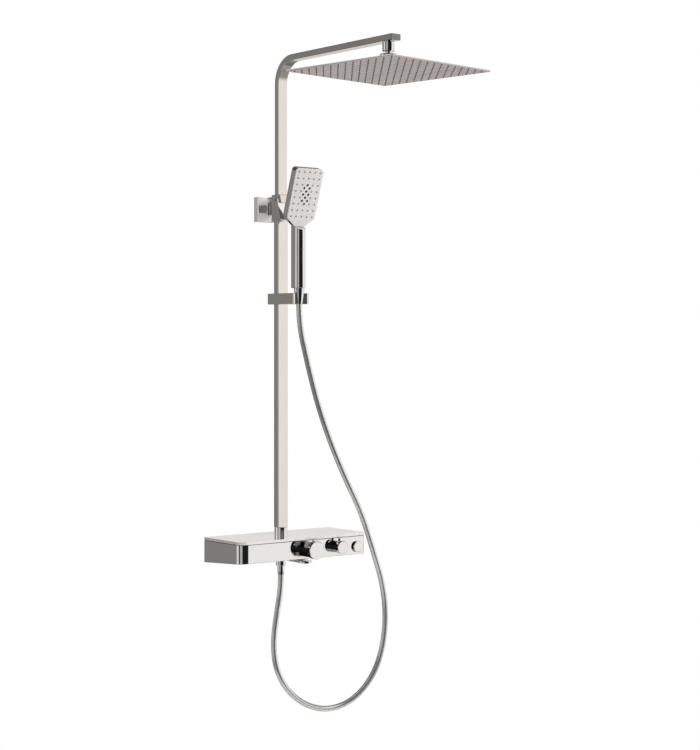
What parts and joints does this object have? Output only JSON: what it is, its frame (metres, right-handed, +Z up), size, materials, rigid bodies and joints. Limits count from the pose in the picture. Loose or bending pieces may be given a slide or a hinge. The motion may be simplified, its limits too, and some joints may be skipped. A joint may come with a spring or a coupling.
{
  "type": "rainfall shower column",
  "caption": "Wall-mounted shower column: telescopic riser with a square rain head on a ball joint, hand shower in a sliding holder, hose, and a shelf mixer with knobs.",
  "frame": {"origin": "on the finished wall, midway between the axes of the mixer's two water inlets", "axes": "+Z up along the riser, +Y into the wall, +X to the right for someone who faces the wall"},
  "size_m": [0.4366, 0.6081, 1.4663],
  "materials": {
    "polished_chrome": "polished",
    "hose_silver": "smooth silver",
    "head_steel": "brushed",
    "plated_plastic": "chrome plated",
    "face_plastic": "gloss",
    "nozzle_rubber": "matt",
    "spray_rubber": "matt",
    "seal_rubber": "matt",
    "dark_plastic": "satin",
    "white_glass": "polished, opaque",
    "raw_brass": "machined",
    "button_plastic": "satin",
    "spring_steel": "drawn wire",
    "wall_steel": "plain"
  },
  "bodies": {
    "base": {"wall_plate": "wall_steel", "wall_flange": "polished_chrome", "arm_gasket": "seal_rubber", "bracket_arm": "polished_chrome", "arm_collar": "polished_chrome", "arm_bolt": "wall_steel", "clamp_body": "polished_chrome", "clamp_pad": "dark_plastic", "tension_screw": "wall_steel", "lever_pins": "polished_chrome", "lower_tube": "polished_chrome", "base_connector": "polished_chrome", "hose": "hose_silver", "hose_ferrule": "polished_chrome", "hose_nut": "polished_chrome", "hose_outlet": "raw_brass", "mixer_casing": "polished_chrome", "glass_shelf": "white_glass", "shelf_gasket": "seal_rubber", "manifold": "raw_brass", "manifold_screws": "wall_steel", "inlet_unions": "polished_chrome", "rosettes": "polished_chrome", "check_valves": "dark_plastic", "thermostat_cartridge": "raw_brass", "diverter_cartridge": "raw_brass", "push_valve": "raw_brass", "push_spring": "spring_steel", "spout": "polished_chrome"},
    "lever": {"clamp_lever": "polished_chrome"},
    "riser": {"upper_tube": "polished_chrome", "guide_piston": "raw_brass", "piston_seals": "seal_rubber", "arm_cap": "polished_chrome", "outlet_boss": "polished_chrome", "swivel_nut": "polished_chrome"},
    "ball": {"ball_stem": "polished_chrome"},
    "rain_head": {"ball_collar": "polished_chrome", "ball_seat": "dark_plastic", "head_bottom_plate": "head_steel", "head_nozzle_mat": "nozzle_rubber", "head_top_plate": "polished_chrome"},
    "holder": {"holder_body": "plated_plastic", "holder_insert": "dark_plastic", "holder_pad": "dark_plastic", "holder_screw": "wall_steel"},
    "handset": {"handset_shell": "plated_plastic", "handset_face": "face_plastic", "spray_mat": "spray_rubber", "inner_pipe": "dark_plastic", "handle_inlet": "plated_plastic", "mode_spring": "spring_steel", "hose_cone_nut": "polished_chrome"},
    "mode_button": {"mode_button": "plated_plastic"},
    "temperature_knob": {"temperature_knob": "polished_chrome", "safety_spring": "spring_steel"},
    "safety_button": {"safety_button": "button_plastic"},
    "diverter_knob": {"diverter_knob": "polished_chrome"},
    "push_button": {"push_button": "polished_chrome"}
  },
  "joints": [
    {"name": "riser_slide", "type": "slide", "parent": "base", "child": "riser", "axis": [0, 0, 1], "range_m": [-0.18, 0.12]},
    {"name": "clamp_lever_flip", "type": "hinge", "parent": "base", "child": "lever", "pos_m": [0, -0.065, 0.774], "axis": [-1, 0, 0], "range_deg": [0, 60]},
    {"name": "head_spin", "type": "hinge", "parent": "riser", "child": "ball", "pos_m": [0, -0.44, 1.039], "axis": [0, 0, 1], "continuous": true},
    {"name": "head_tilt", "type": "hinge", "parent": "ball", "child": "rain_head", "pos_m": [0, -0.44, 1.039], "axis": [0.9914, 0.1305, 0], "range_deg": [-15, 15]},
    {"name": "holder_slide", "type": "slide", "parent": "base", "child": "holder", "axis": [0, 0, 1], "range_m": [-0.28, 0.14], "deforming": ["hose"]},
    {"name": "handset_swivel", "type": "hinge", "parent": "holder", "child": "handset", "pos_m": [0, -0.132, 0.577], "axis": [0, 0, 1], "range_deg": [-90, 90]},
    {"name": "mode_press", "type": "slide", "parent": "handset", "child": "mode_button", "axis": [0, 1, 0], "range_m": [0, 0.0012], "stiffness_N_per_m": 1500, "deforming": ["mode_spring"]},
    {"name": "temperature_turn", "type": "hinge", "parent": "base", "child": "temperature_knob", "pos_m": [0.003, -0.1585, 0.0055], "axis": [0, -1, 0], "range_deg": [-120, 120]},
    {"name": "safety_press", "type": "slide", "parent": "temperature_knob", "child": "safety_button", "axis": [0.7431, 0, -0.6691], "range_m": [0, 0.0018], "stiffness_N_per_m": 1500, "deforming": ["safety_spring"]},
    {"name": "diverter_turn", "type": "hinge", "parent": "base", "child": "diverter_knob", "pos_m": [0.0836, -0.1585, 0.0055], "axis": [0, -1, 0], "range_deg": [-60, 60]},
    {"name": "push_press", "type": "slide", "parent": "base", "child": "push_button", "axis": [0, 1, 0], "range_m": [0, 0.004], "stiffness_N_per_m": 1000, "deforming": ["push_spring"]}
  ]
}
